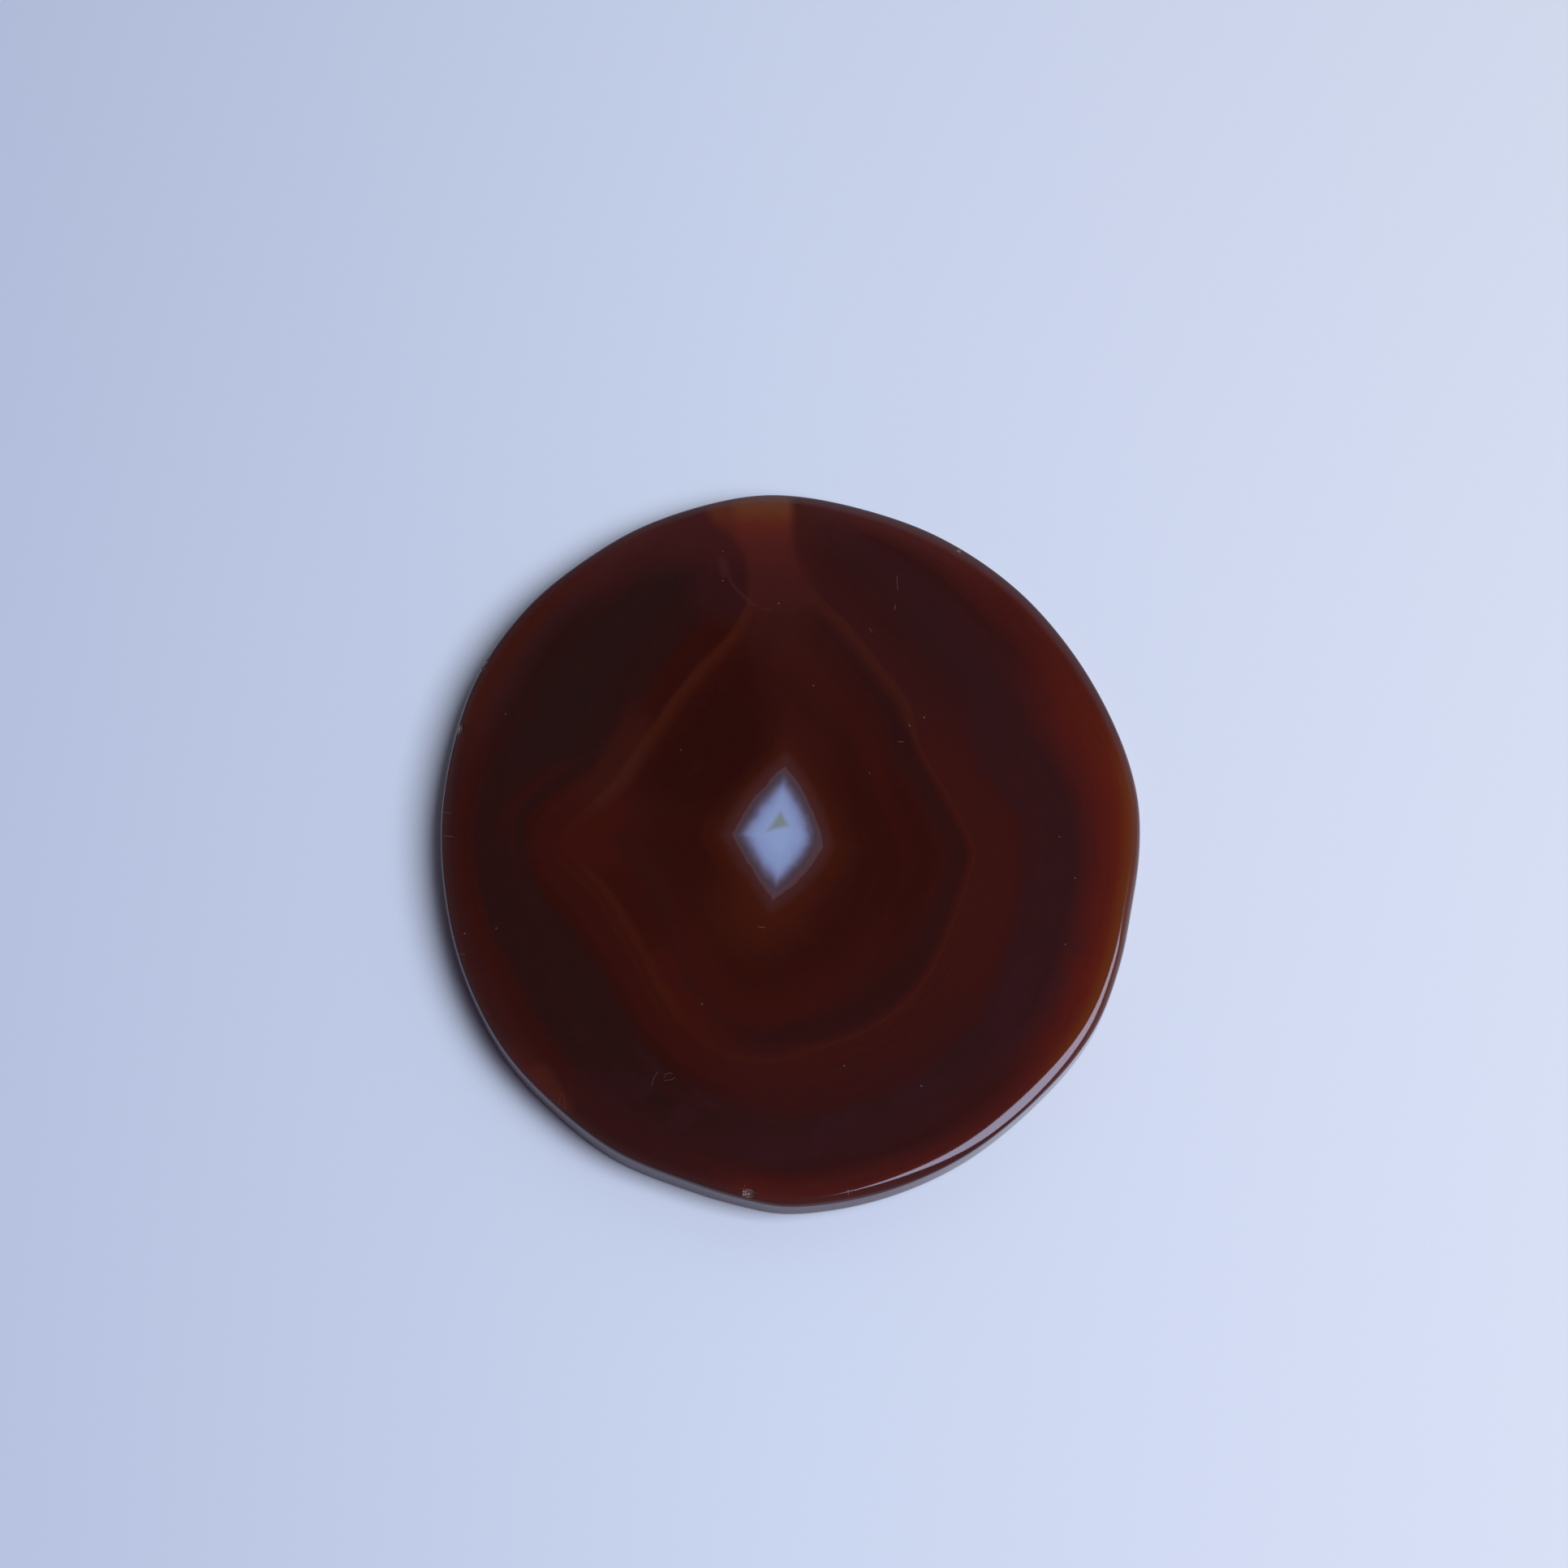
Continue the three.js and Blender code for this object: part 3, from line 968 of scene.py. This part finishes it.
def softbox():
    """The one big soft light, high on the right."""
    lamp = bpy.data.lights.new("softbox", "AREA")
    lamp.shape = "RECTANGLE"
    lamp.size = LIGHT_WIDTH
    lamp.size_y = LIGHT_DEPTH
    lamp.energy = LIGHT_POWER
    lamp.color = LIGHT_COLOUR
    seat = bpy.data.objects.new("softbox", lamp)
    bpy.context.scene.collection.objects.link(seat)
    bearing, elevation = math.radians(LIGHT_BEARING), math.radians(LIGHT_ELEVATION)
    back = Vector((
        math.cos(elevation) * math.cos(bearing),
        math.cos(elevation) * math.sin(bearing),
        math.sin(elevation),
    ))
    seat.location = back * LIGHT_DISTANCE
    seat.rotation_euler = (-back).to_track_quat("-Z", "Y").to_euler()


def room():
    """The dim room round the table."""
    world = bpy.data.worlds.new("room")
    bpy.context.scene.world = world
    bench = Bench("room", world)
    view = bench.node("ShaderNodeTexCoord", outlet=0)
    height = bench.node("ShaderNodeSeparateXYZ", None, {0: view}, 2)
    colour = bench.ramp(height, [(0.0, ROOM_LOW), (0.35, ROOM_MIDDLE), (0.7, ROOM_HIGH), (1.0, ROOM_HIGH)])
    towards_glow = bench.vectors("DOT_PRODUCT", view, GLOW_DIRECTION, 1)
    colour = bench.layer(colour, ROOM_GLOW, bench.rise(towards_glow, 0.6, 0.95))
    light = bench.node("ShaderNodeBackground", None, {0: colour})
    bench.node("ShaderNodeOutputWorld", None, {"Surface": light})
    bpy.context.scene.view_settings.view_transform = "Standard"


def table():
    """The table that the stone lies on, which isn't part of it."""
    shape = bmesh.new()
    bmesh.ops.create_grid(shape, x_segments=1, y_segments=1, size=TABLE_SIZE / 2)
    mesh = bpy.data.meshes.new("table")
    shape.to_mesh(mesh)
    shape.free()
    mesh.materials.append(table_top())
    piece = bpy.data.objects.new("table", mesh)
    bpy.context.scene.collection.objects.link(piece)


stone, stone_reach = make_slice(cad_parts["agate_slice"])
mark_bands(stone, stone_reach)
stone.data.materials.clear()
stone.data.materials.append(agate())
stone.data.polygons.foreach_set("use_smooth", [True] * len(stone.data.polygons))
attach(stone, "root")
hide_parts("agate_slice")

table()
softbox()
room()
photographer()
